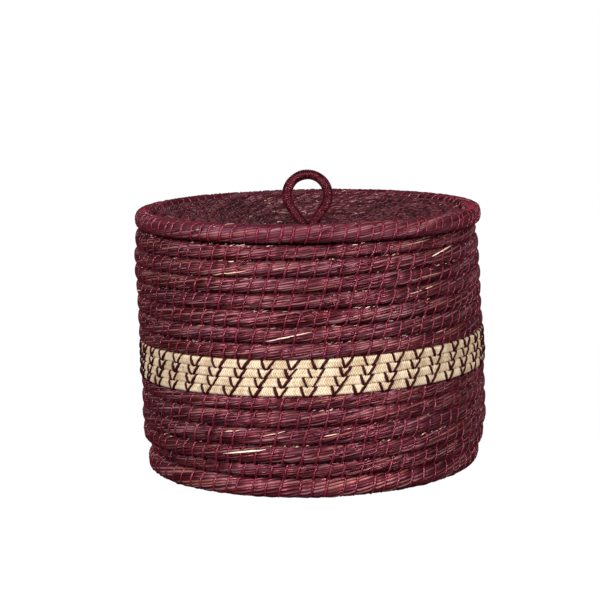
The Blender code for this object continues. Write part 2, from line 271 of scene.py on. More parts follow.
def on_cord(path, along, around, lift, droop=0.0):
    """Points of a cord at lengths along it and angles around it, pushed out by a lift.

    The section is a rounded square: its reach in a direction is (|cos|^n + |sin|^n)^(-1/n) times
    the half sizes. A section too small for the full lift gets a share of it. Droop stretches the
    lower half by that share.
    """
    along, around, lift = np.broadcast_arrays(along, around, lift)
    across, up = np.cos(around), np.sin(around)
    reach = (np.abs(across) ** SQUARENESS + np.abs(up) ** SQUARENESS) ** (-1.0 / SQUARENESS)
    side_step = np.interp(along, path["along"], path["half_side"]) * across * reach
    up_step = np.interp(along, path["along"], path["half_up"]) * up * reach
    size = np.hypot(side_step, up_step)
    push = 1.0 + lift * np.minimum(size / FULL_LIFT_SIZE, 1.0) / np.maximum(size, 0.00001)
    up_step = up_step * (1.0 + droop * (up < 0.0))
    middle = points_at(along, path["along"], path["middle"])
    outward = points_at(along, path["along"], path["outward"])
    return middle + outward * (side_step * push)[..., None] + UPWARD * (up_step * push)[..., None]


def stitch_places(path, step, seed):
    """Wraps counted in eighteenths, and the length along a cord at each: a step for each wrap, a
    little off by one slow drift and kinked by a quicker one."""
    wraps = np.arange(0.0, path["along"][-1] / step, 1.0 / WRAP_PLACES)
    return wraps, step * (wraps + 0.18 * drift(wraps, seed) + 0.04 * drift(wraps * 3.0, seed + 8)
                          + 0.22)


# Putting meshes and their materials in the scene

def add_object(name, data):
    """Object for a mesh, light or camera, linked to the scene."""
    thing = bpy.data.objects.new(name, data)
    bpy.context.scene.collection.objects.link(thing)
    return thing


def put_tubes(name, rings, finish, body, slot, **attributes):
    """Closed tubes from an array of (tubes, rings, sides, 3) points, one face between each pair of
    neighbouring rings and sides and one over each end. Nothing reaches below the table. Attributes
    are arrays with one vector for each point."""
    tubes, count, sides = rings.shape[:3]
    rings = rings.copy()
    rings[..., 2] = np.maximum(rings[..., 2], TABLE_CLEARANCE)
    index = np.arange(tubes * count * sides).reshape(tubes, count, sides)
    here, ahead = index[:, :-1], index[:, 1:]
    quads = np.stack([here, ahead, np.roll(ahead, -1, 2), np.roll(here, -1, 2)], -1)
    corners = np.concatenate([quads.ravel(), index[:, 0].ravel(), index[:, -1, ::-1].ravel()])
    totals = np.concatenate([np.full(quads.size // 4, 4), np.full(2 * tubes, sides)])
    starts = np.concatenate([[0], np.cumsum(totals)[:-1]])
    mesh = bpy.data.meshes.new(name)
    mesh.vertices.add(index.size)
    mesh.vertices.foreach_set("co", rings.astype(np.float32).ravel())
    mesh.loops.add(len(corners))
    mesh.loops.foreach_set("vertex_index", corners.astype(np.int32))
    mesh.polygons.add(len(totals))
    mesh.polygons.foreach_set("loop_start", starts.astype(np.int32))
    mesh.polygons.foreach_set("loop_total", totals.astype(np.int32))
    mesh.polygons.foreach_set("use_smooth", np.ones(len(totals), bool))
    mesh.update(calc_edges=True)
    for key, values in attributes.items():
        mesh.attributes.new(key, "FLOAT_VECTOR", "POINT").data.foreach_set(
            "vector", values.astype(np.float32).ravel())
    mesh.materials.append(finish)
    thing = add_object(name, mesh)
    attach(thing, body)
    return thing


def unit(ways):
    """Ways as vectors whose lengths are made one."""
    return ways / np.maximum(np.linalg.norm(ways, axis=-1, keepdims=True), 1e-12)


def tube_rings(line, facing, radius, sides):
    """Rings about lines of points: cos and sin of equal angles times a normal that faces one way
    and the cross product of that normal and the line's direction."""
    forward = unit(np.gradient(line, axis=-2))
    normal = unit(facing - forward * np.sum(facing * forward, -1, keepdims=True))
    cross = np.cross(normal, forward)
    angle = np.arange(sides) * (FULL_TURN / sides)
    spread = (normal[..., None, :] * np.cos(angle)[:, None]
              + cross[..., None, :] * np.sin(angle)[:, None])
    return line[..., None, :] + spread * np.reshape(radius, (-1, 1, 1))


# Pieces that lie along a cord

def drawn_in(path, along, around, step, seed):
    """Depth to which a stitch draws its cord in: (half of one plus the cosine)^4 of the angle
    between a place and the thread's slanted line. Between stitches the cord swells a little."""
    wraps, lengths = stitch_places(path, step, seed)
    phase = FULL_TURN * np.interp(along, lengths, wraps) - around
    return STITCH_DEPTH * (0.5 + 0.5 * np.cos(phase)) ** 4 - SWELL_BETWEEN_STITCHES


def put_bundle(name, path, finish, body, seed, step=STITCH_STEP, blades=20, ring_step=0.0029,
               span=None, blade_height=BLADE_HEIGHT, twist=STRAW_TWIST, valley_shade=1.0):
    """Bundle of grass blades along a cord. Columns of points follow the twist in threes: a low one
    between two blades and two on the blade, which stand proud by a height of their own, and the
    whole is drawn in along the slanted lines of the stitches. The straw attribute holds the blade's
    tone, the painted shade where rows touch, and the painted shade in the valley between blades,
    at a strength of valley_shade."""
    first, last = span or (0.0, path["along"][-1])
    along = np.linspace(first, last, int((last - first) / ring_step) + 1)[:, None]
    blade, part = np.divmod(np.arange(3 * blades)[None, :], 3)
    uneven = BLADE_SPREAD_SHARE * np.random.default_rng(seed + 6).uniform(-1.0, 1.0, blades)
    place_across = blade + uneven[blade] * (part == 0) + BLADE_COLUMN_PLACES[part]
    place_across += 0.5 * (uneven[blade] + uneven[(blade + 1) % blades]) * (part > 0)
    straight = place_across * (FULL_TURN / blades)
    around = straight + twist * along
    rows = np.broadcast_to(blade, (len(along), 3 * blades))
    shift = np.random.default_rng(seed + 1).uniform(0.0, 9.0, blades)
    place = along / BLADE_DRIFT_LENGTH + shift[blade]
    proud = BLADE_PROUD_SHARE * drift(place, seed + 2, rows, blades) * (part > 0)
    ridge = (BLADE_COLUMN_HEIGHTS[part] + proud) * blade_height
    bulge = BULGE * drift(along / BULGE_LENGTH, seed + 3)
    points = on_cord(path, along, around, ridge - drawn_in(path, along, around, step, seed)
                     + bulge - BUNDLE_SINK)
    tone = drift(place * 0.8 + 3.0, seed + 4, rows, blades)
    grain = vectors(along * MILLIMETRES + seed * 37.0, BUNDLE_GRAIN_REACH * np.cos(straight),
                    BUNDLE_GRAIN_REACH * np.sin(straight))
    # Painted shade: a share, rising towards each contact angle, by which the straws' colour is
    # darkened.
    groove_shade = np.zeros(around.shape)
    for contact, power in path["contacts"]:
        groove_shade = np.maximum(groove_shade, np.maximum(np.cos(around - contact), 0.0) ** power)
    # Second part: painted shade where rows touch. Third part: painted shade in the valleys between
    # blades.
    facts = vectors(tone, groove_shade, valley_shade * (part == 0))
    return put_tubes(name, points[None], finish, body, "dyed_grass",
                     grain=grain[None], straw=facts[None])


def put_thread(name, path, finish, body, seed, step=STITCH_STEP, droop=0.0):
    """Stitching thread: one long tube that wraps a cord, its angle growing by a full turn while it
    goes one step along."""
    wraps, lengths = stitch_places(path, step, seed)
    keep = lengths < path["along"][-1] - 0.001
    wraps, lengths = wraps[keep], lengths[keep]
    around = FULL_TURN * wraps
    line = on_cord(path, lengths, around, -THREAD_SINK, droop)
    width = THREAD_RADIUS * (1.0 + 0.18 * drift(wraps * 2.0, seed + 5))
    return put_thread_tube(name, path, lengths, line, width, THREAD_SIDES,
                           lengths * MILLIMETRES * 6.0 + wraps * 44.0, finish, body)


def put_thread_tube(name, path, lengths, line, width, sides, twist, finish, body):
    """Tube of a width along a thread's line, its first side facing away from the cord's middle. The
    grain is the twist along the thread and the cosine and sine of the angle around it."""
    middle = points_at(lengths, path["along"], path["middle"])
    rings = tube_rings(line, line - middle, width, sides)
    angle = np.arange(sides) * (FULL_TURN / sides)
    grain = vectors(twist[:, None], np.cos(angle), np.sin(angle))
    return put_tubes(name, rings[None], finish, body, "wrapped_cord", grain=grain[None])


def put_straws(name, path, finish, body, seed, count, spread, lengths, width, rise, stitch=None,
               slopes=(0.7, 1.5), bunches=0, proud=0.00005):
    """Short blades with a ridge that lie proud of a cord, at random places along it, or near the
    middles of bunches, and at random angles within a spread. Each gets narrower by the cube of the
    distance from its middle, and lifts off the cord by the square of the distance from its start. A
    stitch draws them in."""
    chance = np.random.default_rng(seed)
    share = np.linspace(0.0, 1.0, STRAW_PLACES)
    start = chance.uniform(0.01, path["along"][-1] - 0.04, (count, 1, 1))
    if bunches:
        near = chance.uniform(0.03, path["along"][-1] - 0.06, bunches)
        start = near[chance.integers(0, bunches, (count, 1, 1))]
        start += chance.normal(0.0, BUNCH_SPREAD, start.shape)
    reach = chance.uniform(*lengths, (count, 1, 1))
    turned = chance.uniform(*spread, (count, 1, 1))
    slope = STRAW_TWIST * chance.uniform(*slopes, (count, 1, 1))
    along = start + reach * share[None, :, None]
    half = width * chance.uniform(0.5, 1.3, (count, 1, 1)) * (1.0 - 0.8 * np.abs(
        2.0 * share - 1.0) ** 3)[None, :, None]
    corner = np.array([-1.0, 0.0, 1.0])[None, None, :]
    lean = chance.uniform(-0.5, 0.5, (count, 1, 1)) * (corner == 0.0)
    around = (turned + slope * (along - start)
              + (corner[..., ::-1] + lean) * half / STRAW_SECTION_RADIUS)
    lift = proud + STRAW_RIDGE * (corner == 0.0) * (half / width)
    lift = lift + chance.uniform(*rise, (count, 1, 1)) * share[None, :, None] ** 2
    if stitch:
        lift = lift - drawn_in(path, along, around, *stitch)
    points = on_cord(path, along, around, lift)
    tone = np.broadcast_to(chance.uniform(0.0, 1.0, (count, 1, 1)), around.shape)
    grain = vectors((along + turned) * MILLIMETRES, corner, tone)
    facts = vectors(tone * 2.0 - 1.0, 0.0, np.abs(corner))
    return put_tubes(name, points, finish, body, "dyed_grass", grain=grain, straw=facts)


# Materials

def start_material(name, roughness, specular=0.4, tint=(1.0, 1.0, 1.0)):
    """Material with a Principled shader, and its node tree."""
    material = bpy.data.materials.new(name)
    material.use_nodes = True
    tree = material.node_tree
    shader = tree.nodes["Principled BSDF"]
    set_inputs(tree, shader, {"Roughness": roughness, "Specular IOR Level": specular,
                              "Specular Tint": (*tint, 1.0)})
    return material, tree, shader


def set_inputs(tree, node, inputs):
    """Sets a node's inputs to values or joins them to outputs."""
    for key, value in inputs.items():
        if isinstance(value, bpy.types.NodeSocket):
            tree.links.new(value, node.inputs[key])
        else:
            node.inputs[key].default_value = value


def add_node(tree, kind, inputs=(), **settings):
    """Node of a kind with its settings and inputs."""
    node = tree.nodes.new(kind)
    for key, value in settings.items():
        setattr(node, key, value)
    set_inputs(tree, node, dict(inputs))
    return node


def scaled_grain(tree, scale):
    """The grain attribute, times a scale along and across the straws."""
    grain = add_node(tree, "ShaderNodeAttribute", attribute_name="grain")
    return add_node(tree, "ShaderNodeMapping", {"Vector": grain.outputs["Vector"], "Scale": scale},
                    vector_type="POINT").outputs[0]


def grain_noise(tree, scale, detail=2.0, roughness=0.5):
    """Noise over the scaled grain."""
    return add_node(tree, "ShaderNodeTexNoise",
                    {"Vector": scaled_grain(tree, scale), "Scale": 1.0, "Detail": detail,
                     "Roughness": roughness}).outputs[0]


def bumped(tree, height, strength, distance):
    """Surface direction that a height changes."""
    return add_node(tree, "ShaderNodeBump", {"Height": height, "Strength": strength,
                                             "Distance": distance}).outputs[0]


def between(tree, share, low, high):
    """Value that goes from low to high as a share goes from nought to one, and stays there."""
    return add_node(tree, "ShaderNodeMapRange", {"Value": share, "To Min": low,
                                                 "To Max": high}).outputs[0]


def sum_of(tree, first, second, operation="ADD"):
    """Math node on two values or outputs."""
    return add_node(tree, "ShaderNodeMath", {0: first, 1: second}, operation=operation).outputs[0]


def weighted(tree, *terms):
    """Sum of outputs or values, each times its weight."""
    total = 0.0
    for value, weight in terms:
        total = add_node(tree, "ShaderNodeMath", {0: value, 1: weight, 2: total},
                         operation="MULTIPLY_ADD").outputs[0]
    return total


def ramp(tree, value, stops):
    """Colour ramp through (place, colour) stops."""
    node = add_node(tree, "ShaderNodeValToRGB", {"Fac": value})
    elements = node.color_ramp.elements
    while len(elements) < len(stops):
        elements.new(0.5)
    for element, (place, colour) in zip(elements, stops):
        element.position = place
        element.color = (*colour, 1.0)
    return node.outputs["Color"]


def grass_material(name, stops, roughness, refraction, tint, hues, stretch=1.0, contrast=1.0):
    """Straws: a cell pattern stretched along the grain gives each straw its own tone, hue and
    gloss, noise gives streaks, both raise the surface, and the lines between straws are dull and
    darkened by painted shade. Where rows touch, the colour is mixed towards a painted shade colour.
    A small stretch makes the straws' marks short, and the contrast spreads their tones."""
    material, tree, shader = start_material(name, roughness, 1.0, tint)
    facts = add_node(tree, "ShaderNodeAttribute", attribute_name="straw")
    parts = add_node(tree, "ShaderNodeSeparateXYZ", {0: facts.outputs["Vector"]})
    cells = add_node(tree, "ShaderNodeTexVoronoi",
                     {"Vector": scaled_grain(tree, (0.022 / stretch, 0.45, 0.45)), "Scale": 1.0})
    cell_parts = add_node(tree, "ShaderNodeSeparateColor", {0: cells.outputs["Color"]})
    streaks = grain_noise(tree, (0.020 / stretch, 1.3, 1.3), roughness=0.6)
    patches = grain_noise(tree, (0.030, 0.16, 0.16), detail=1.0)
    # Painted shade in the valleys between straws, from the straw attribute's third part.
    line = sum_of(tree, weighted(tree, (parts.outputs["Z"], 1.5)), 1.0, "MINIMUM")
    value = weighted(tree, (cell_parts.outputs[0], 0.34), (streaks, 0.80), (patches, 0.40),
                     (parts.outputs["X"], 0.32), (line, -0.66))
    value = weighted(tree, (value, contrast), (MIDDLE_TONE, 1.0 - contrast))
    dyed = add_node(tree, "ShaderNodeHueSaturation",
                    {"Hue": between(tree, cell_parts.outputs[1], *hues),
                     "Saturation": between(tree, cell_parts.outputs[1], 0.80, 1.10),
                     "Color": ramp(tree, value, stops)})
    # Painted shade where rows touch: the colour is mixed towards a dark colour by the second part.
    dark = sum_of(tree, weighted(tree, (parts.outputs["Y"], 1.15)), 0.98, "MINIMUM")
    mixed = add_node(tree, "ShaderNodeMix", {"Factor": dark, "A": dyed.outputs[0],
                                             "B": (*GROOVE_SHADE_COLOUR, 1.0)}, data_type="RGBA")
    gloss = between(tree, cell_parts.outputs[2], roughness - 0.05, roughness + 0.14)
    dull = weighted(tree, (gloss, 1.0), (line, 0.18), (parts.outputs["Y"], -0.16))
    height = weighted(tree, (cells.outputs["Distance"], -0.8), (streaks, 1.2))
    set_inputs(tree, shader, {"Base Color": mixed.outputs["Result"], "Roughness": dull,
                              "IOR": refraction, "Normal": bumped(tree, height, 0.5, 0.0005)})
    return material


def thread_material(name, stops, roughness, specular):
    """Waxed thread: fine noise along the twist changes its tone and raises its plies."""
    material, tree, shader = start_material(name, roughness, specular, THREAD_TINT)
    noise = grain_noise(tree, (0.12, 1.0, 1.0))
    plies = add_node(tree, "ShaderNodeTexWave",
                     {"Vector": scaled_grain(tree, (0.18, 0.6, 0.6)), "Scale": 1.0,
                      "Distortion": 1.5})
    set_inputs(tree, shader, {"Base Color": ramp(tree, noise, stops),
                              "Normal": bumped(tree, plies.outputs[1], 0.5, 0.0002)})
    return material


# Tones, as places on a ramp from dark to light
MIDDLE_TONE = 0.68
# Colour of the painted shade where rows touch.
GROOVE_SHADE_COLOUR = (0.005, 0.0006, 0.0012)
THREAD_TINT = (1.0, 0.50, 0.60)
WINE = ((0.05, (0.005, 0.0001, 0.0005)), (0.30, (0.022, 0.0004, 0.0024)),
        (0.52, (0.043, 0.0016, 0.0043)), (0.76, (0.090, 0.0120, 0.0170)),
        (1.00, (0.270, 0.1000, 0.0980)))
UNDYED = ((0.0, (0.320, 0.120, 0.085)), (0.34, (0.660, 0.380, 0.250)), (0.62, (0.94, 0.71, 0.49)),
          (1.0, (1.00, 0.88, 0.70)))
CRIMSON = ((0.30, (0.062, 0.0022, 0.0082)), (0.70, (0.180, 0.0100, 0.0280)))
# The wall's thread again, drawn lighter on the rim as painted light and darker on the lid as painted
# shade.
RIM_CRIMSON_LIT = ((0.30, (0.076, 0.0027, 0.0100)), (0.70, (0.205, 0.0115, 0.0320)))
LID_CRIMSON_SHADED = ((0.30, (0.036, 0.0014, 0.0050)), (0.70, (0.110, 0.0070, 0.0180)))
MAROON = ((0.30, (0.014, 0.0004, 0.0011)), (0.70, (0.050, 0.0018, 0.0045)))
CORD_WINE = ((0.15, (0.004, 0.0002, 0.0006)), (0.45, (0.029, 0.0014, 0.0042)),
             (0.75, (0.125, 0.0135, 0.0230)))
CREAM = ((0.10, (0.270, 0.150, 0.070)), (0.36, (0.540, 0.380, 0.225)),
         (0.72, (0.800, 0.665, 0.485)))


def strand_material(name, stops, roughness, specular, tint):
    """Plaited or wrapped strands: each has its own tone, darker by painted shade between strands
    and where cords touch, with fine fibre noise. A strand is one whole step of the straw attribute."""
    material, tree, shader = start_material(name, roughness, specular, tint)
    facts = add_node(tree, "ShaderNodeAttribute", attribute_name="straw")
    parts = add_node(tree, "ShaderNodeSeparateXYZ", {0: facts.outputs["Vector"]})
    strand = add_node(tree, "ShaderNodeTexWhiteNoise",
                      {"W": sum_of(tree, parts.outputs["X"], 0.0, "FLOOR")}, noise_dimensions="1D")
    # Painted shade: lighter at each strand's middle and darker at its edges.
    ridge = sum_of(tree, parts.outputs["X"], 0.5, "PINGPONG")
    fibre = grain_noise(tree, (1.3, 1.3, 1.3))
    patches = grain_noise(tree, (0.05, 0.2, 0.2), detail=1.0)
    # The straw attribute's second part is painted shade where cords touch.
    value = weighted(tree, (fibre, 0.45), (patches, 0.60), (ridge, 0.9),
                     (strand.outputs["Value"], 0.22), (parts.outputs["Y"], -0.20), (-0.38, 1.0))
    height = sum_of(tree, fibre, ridge)
    set_inputs(tree, shader, {"Base Color": ramp(tree, value, stops),
                              "Normal": bumped(tree, height, 0.7, 0.0005)})
    return material


# The windings' lines

def bottom_ring():
    """Ring radius of the bottom row, whose flat underside is on the table."""
    return (BOTTOM_ROW_HEIGHT - TURN_GAP / 2) / (2.0 - 2.0 * FLAT_CUT_SHARE)


def bottom_middle():
    """Distance from the axis to the middle of the bottom row."""
    return WALL_RADIUS - BOTTOM_ROW_INSET - bottom_ring() * FLAT_SHARE


def wall_row_height(turn):
    """Height of the wall's row, or of the pair of plaits, at a turn. It steps softly from each
    height to the next at a turn of its own."""
    heights = (LOWER_ROW_HEIGHT, UNDER_BAND_ROW_HEIGHT, 2.0 * BAND_CORD_HEIGHT, UPPER_ROW_HEIGHT)
    height = heights[0]
    for before, after, step_turn in zip(heights, heights[1:],
                                        (UNDER_BAND_TURN, LOWER_END_TURN, BAND_END_TURN)):
        height = height + (after - before) * eased((turn - step_turn) / STEP_TURNS)
    return height


def row_wander(turn):
    """How far the joints between rows wander: slow drift, held still at the first and last row."""
    held = eased((turn - 0.9) / 0.5) * eased((WALL_LEVEL_TURN - 0.1 - turn) / 0.5)
    return ROW_DRIFT * held * (drift(turn * 9.0, 81) + 0.5 * drift(turn * 23.0, 82))


def leaned(path):
    """Basket line pushed out of true by hand work: sideways by a share of its height as in the
    table, and up at the right of the foot by a share of its distance from the axis."""
    middle = path["middle"]
    height = middle[:, 2].copy()
    middle[:, 2] += FOOT_LIFT * np.maximum(middle[:, 0] / WALL_RADIUS, 0.0) * np.clip(
        1.0 - height / FOOT_LIFT_HEIGHT, 0.0, 1.0)
    middle[:, 0] += np.interp(height, LEAN_HEIGHTS, LEAN_SHIFTS)
    return path


def wall_path(first_turn, last_turn, low_share, high_share, inset, row_gap=0.0):
    """Line of a wall cord that takes part of the row's height, from one share to another. The row
    at the mouth is drawn in, and the thin start lies flush with the rows' outside."""
    turn, side, thickness = WALL_LAY
    side = side + row_wander(turn)
    thickness = thickness + row_wander(turn + 1.0) - row_wander(turn)
    part = slice(round(first_turn * PLACES_PER_TURN), round(last_turn * PLACES_PER_TURN) + 1)
    turn, side, thickness = turn[part], side[part], thickness[part]
    height = side + thickness * (low_share + high_share) / 2
    full_ring = (wall_row_height(turn) * (high_share - low_share) - TURN_GAP) / 2
    lean = np.maximum((turn - WALL_LEAN_TURN) / (WALL_LEVEL_TURN - WALL_LEAN_TURN), 0.0)
    full = WALL_RADIUS - inset - MOUTH_INSET * lean - full_ring * FLAT_SHARE
    swell = eased((turn - FIRST_TIP_TURN) / (FOOT_SWELL_TURN - FIRST_TIP_TURN))
    radius = (bottom_middle() + (full - bottom_middle()) * swell) * WALL_DRAWN_SHARE
    mouth = eased((turn - MOUTH_ROW_TURN) / 0.5)
    radius = radius + OUT_OF_ROUND * drift(turn * 7.0, 83) - MOUTH_ROW_INSET * mouth
    half_up = thickness * (high_share - low_share) / 2 - row_gap / 2 - MOUTH_ROW_DROP * mouth
    height = height - MOUTH_ROW_DROP * mouth
    half_side = np.clip(full_ring * SECTION_SHARE, 0.0, half_up * TIP_SECTION_RATIO)
    flush = START_FLUSH_SHARE * (1.0 - eased(turn - 1.0))
    radius = radius + flush * (full_ring * SECTION_SHARE - half_side)
    return leaned(cord_path(radius, WALL_START_ANGLE + 360.0 * turn, height, half_side, half_up,
                            WALL_CONTACTS))


def row_path(radius, height, half_side, half_up, contacts):
    """Line of one level row that starts and ends behind the basket."""
    turn = np.linspace(0.0, 1.0, PLACES_PER_TURN + 1)
    return cord_path(radius, ROW_JOIN_ANGLE + 360.0 * turn, height, half_side, half_up, contacts)


def flat_path(rows, start, pitch, start_angle, middle_height, half_up):
    """Line of a spiral that fills the ring from its start radius out, row beside row. The middle's
    height is a function of the radius."""
    turn, side, thickness = lay_turns(rows, start, lambda turn: pitch)
    part = slice(round(FIRST_TIP_TURN * PLACES_PER_TURN),
                 round((rows + LAST_TIP_TURN) * PLACES_PER_TURN) + 1)
    turn, side, thickness = turn[part], side[part], thickness[part]
    radius = side + thickness / 2
    swell = np.minimum(thickness / pitch * 1.4, 1.0)
    return cord_path(radius, start_angle + 360.0 * turn,
                     middle_height(radius) - half_up * (1.0 - swell) * 0.6,
                     (thickness + FLAT_ROW_OVERLAP) / 2, half_up * swell, FLAT_CONTACTS)


WALL_LAY = lay_turns(WALL_LEVEL_TURN, BOTTOM_ROW_HEIGHT, wall_row_height)


def main():
    """Dresses the basket and its lid, and sets up the floor, the light and the camera."""
    grass = grass_material("dyed_grass_straws", WINE, roughness=0.34, refraction=1.54,
                           tint=(1.0, 0.26, 0.35), hues=(0.466, 0.520), contrast=1.12)
    rim_grass = grass_material("dyed_grass_rim_straws", WINE, roughness=0.50, refraction=1.50,
                               tint=(1.0, 0.30, 0.40), hues=(0.470, 0.512), contrast=0.66)
    dull_grass = grass_material("dyed_grass_lid_straws", WINE, roughness=0.36, refraction=1.60,
                                tint=(1.0, 0.34, 0.44), hues=(0.465, 0.512), stretch=0.25,
                                contrast=2.10)
    undyed = grass_material("undyed_straws", UNDYED, roughness=0.50, refraction=1.30,
                            tint=(1.0, 0.80, 0.70), hues=(0.486, 0.496))
    crimson = thread_material("stitching_thread", CRIMSON, roughness=0.28, specular=1.0)
    # The rim's and the lid's threads are the wall's thread, lighter as painted light and darker as
    # painted shade.
    rim_crimson_lit = thread_material("rim_stitching_thread_lit", RIM_CRIMSON_LIT, roughness=0.28, specular=1.0)
    lid_crimson_shaded = thread_material("lid_stitching_thread_shaded", LID_CRIMSON_SHADED, roughness=0.34, specular=0.8)
    maroon = thread_material("dark_stitching_thread", MAROON, roughness=0.46, specular=0.2)
    cord_wine = strand_material("wrapped_cord_strands", CORD_WINE, roughness=0.30, specular=0.9,
                                tint=(1.0, 0.27, 0.37))
    cream = strand_material("pale_plait", CREAM, roughness=0.55, specular=0.5, tint=(1.0, 1.0, 1.0))
    make_basket(grass, undyed, crimson, maroon, cream)
    make_lid(grass, rim_grass, dull_grass, undyed, crimson, rim_crimson_lit, lid_crimson_shaded, cord_wine)
    make_surroundings()


def make_basket(grass, undyed, crimson, maroon, cream):
    """Base, bottom row, lower wall, band and upper wall, and the loose straws on both walls. The
    base's rows share out evenly the room between its eye and the bottom row."""
    ring = bottom_ring()
    middle = bottom_middle()
    cut_height = ring * (1.0 - 2.0 * FLAT_CUT_SHARE)
    bottom = leaned(row_path(middle, BOTTOM_ROW_HEIGHT / 2 - 0.0006, ring * 0.95,
                             BOTTOM_ROW_HEIGHT / 2 + 0.0004, BOTTOM_CONTACTS))
    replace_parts(put_bundle("bottom_row_straws", bottom, grass, "basket", 11), "bottom_row_coil")
    put_thread("bottom_row_stitches", bottom, crimson, "basket", 11)

    limit = middle * WALL_FACET_SHARE - ring * FLAT_SHARE - TURN_GAP / 2
    pitch = (limit - BASE_EYE_RADIUS) / BASE_ROWS
    base_height = cut_height * BASE_UP_SHARE
    base = leaned(flat_path(BASE_ROWS, BASE_EYE_RADIUS, pitch, BASE_START_ANGLE,
                            lambda radius: base_height, base_height))
    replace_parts(put_bundle("base_straws", base, grass, "basket", 21, blades=16, ring_step=0.0039),
                "base_coil")
    put_thread("base_stitches", base, crimson, "basket", 21)
    put_base_eye(base_height, grass)

    lower = wall_path(FIRST_TIP_TURN, LOWER_END_TURN, 0.0, 1.0, 0.0, ROW_GAP)
    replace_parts(put_bundle("lower_wall_straws", lower, grass, "basket", 31), "lower_wall_coil")
    put_thread("lower_wall_stitches", lower, crimson, "basket", 31, droop=WALL_THREAD_DROOP)

    over_start = BAND_THREAD_START + BAND_PAIR_SHIFT
    for name, low, high, seed, first in (("under", 0.0, 0.5, 41, BAND_THREAD_START),
                                         ("over", 0.5, 1.0, 43, over_start)):
        path = wall_path(LOWER_END_TURN, BAND_END_TURN, low, high, BAND_INSET - PLAIT_SWELL)
        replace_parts(put_plait("pale_plait_" + name, path, cream, seed), "pale_braid_" + name)
        put_band_stitches("band_stitches_" + name, path, maroon, seed, first)

    upper = wall_path(BAND_END_TURN, WALL_LEVEL_TURN + LAST_TIP_TURN, 0.0, 1.0, 0.0, ROW_GAP)
    end = upper["along"][-1]
    for name, span in (("low", (0.0, end / 2)), ("high", (end / 2, end))):
        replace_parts(put_bundle("upper_wall_straws_" + name, upper, grass, "basket", 51, span=span),
                    "upper_wall_coil")
    put_thread("upper_wall_stitches", upper, crimson, "basket", 51, droop=WALL_THREAD_DROOP)

    for name, path, seed, pale_seed, stitch_seed in (("lower_wall", lower, 61, 63, 31),
                                                     ("upper_wall", upper, 71, 10812, 51)):
        stitch = (STITCH_STEP, stitch_seed)
        put_straws(name + "_undyed_straws", path, undyed, "basket", seed, count=620,
                   spread=(0.85, 1.35), lengths=(0.0015, 0.005), width=0.00042,
                   rise=(0.0, 0.0009), bunches=150)
        put_straws(name + "_straw_ends", path, grass, "basket", seed + 7, count=900,
                   spread=(0.70, 1.35), lengths=(0.003, 0.008), width=0.00055,
                   rise=(0.0, 0.0010), slopes=(-5.0, 7.0))
        put_straws(name + "_pale_straws", path, undyed, "basket", pale_seed, count=14,
                   spread=(-0.8, 0.9), lengths=(0.014, 0.040), width=0.00080,
                   rise=(0.0, 0.0004), stitch=stitch, proud=0.0004)
        put_straws(name + "_loose_straws", path, grass, "basket", seed + 1, count=1500,
                   spread=(-1.2, 1.2), lengths=(0.016, 0.040), width=0.00100,
                   rise=(0.0, 0.0003), stitch=stitch)


def put_base_eye(half_up, finish):
    """Tuft that fills the base's eye: a squat ellipsoid, its reach the root of one less the square
    of its height."""
    height = np.linspace(-1.0, 1.0, 25)[:, None]
    around = -np.arange(24) * (FULL_TURN / 24)
    reach = BASE_EYE_FILL_RADIUS * np.sqrt(1.0001 - height ** 2)
    eye = vectors(reach * np.cos(around), reach * np.sin(around), half_up * (1.0 + 0.7 * height))
    # The middle value darkens the whole tuft through the channel that carries the painted shade where
    # rows touch.
    facts = np.zeros_like(eye) + (0.0, 0.3, 0.0)
    put_tubes("base_eye_straws", eye[None], finish, "basket", "dyed_grass",
              grain=eye[None] * MILLIMETRES, straw=facts[None])


def put_plait(name, path, finish, seed):
    """Plaited cord: slanted strands that change direction across the cord, each a rounded ridge
    by the height 1 - |2s - 1|^2.5 for its share s across, so that the plait shows as chevrons. A
    lift by the squared sine of twice the angle makes it flat in front."""
    rings = int(path["along"][-1] / PLAIT_RING_STEP) + 1
    along = np.linspace(0.0, path["along"][-1], rings)[:, None]
    around = np.arange(PLAIT_SIDES) * (FULL_TURN / PLAIT_SIDES)
    bend = np.abs(((around / (0.5 * math.pi)) % 2.0) - 1.0)
    phase = along / PLAIT_STRAND_STEP + PLAIT_SLANT * bend + 0.15 * drift(along / 0.006, seed)
    height = 1.0 - np.abs(2.0 * (phase % 1.0) - 1.0) ** 2.5
    lift = (PLAIT_STRAND_HEIGHT * height - PLAIT_SINK + 0.00015 * drift(along / 0.010, seed + 1)
            + PLAIT_FLATTENING * np.sin(2.0 * around) ** 2)
    points = on_cord(path, along, around, lift)
    # The second part is painted shade at the top and bottom of the section, where the plaits touch.
    facts = vectors(phase, np.sin(around) ** 8, 0.0)
    grain = vectors(along * MILLIMETRES + seed * 31.0, PLAIT_GRAIN_REACH * np.cos(around),
                    PLAIT_GRAIN_REACH * np.sin(around))
    return put_tubes(name, points[None], finish, "basket", "pale_braid",
                     grain=grain[None], straw=facts[None])


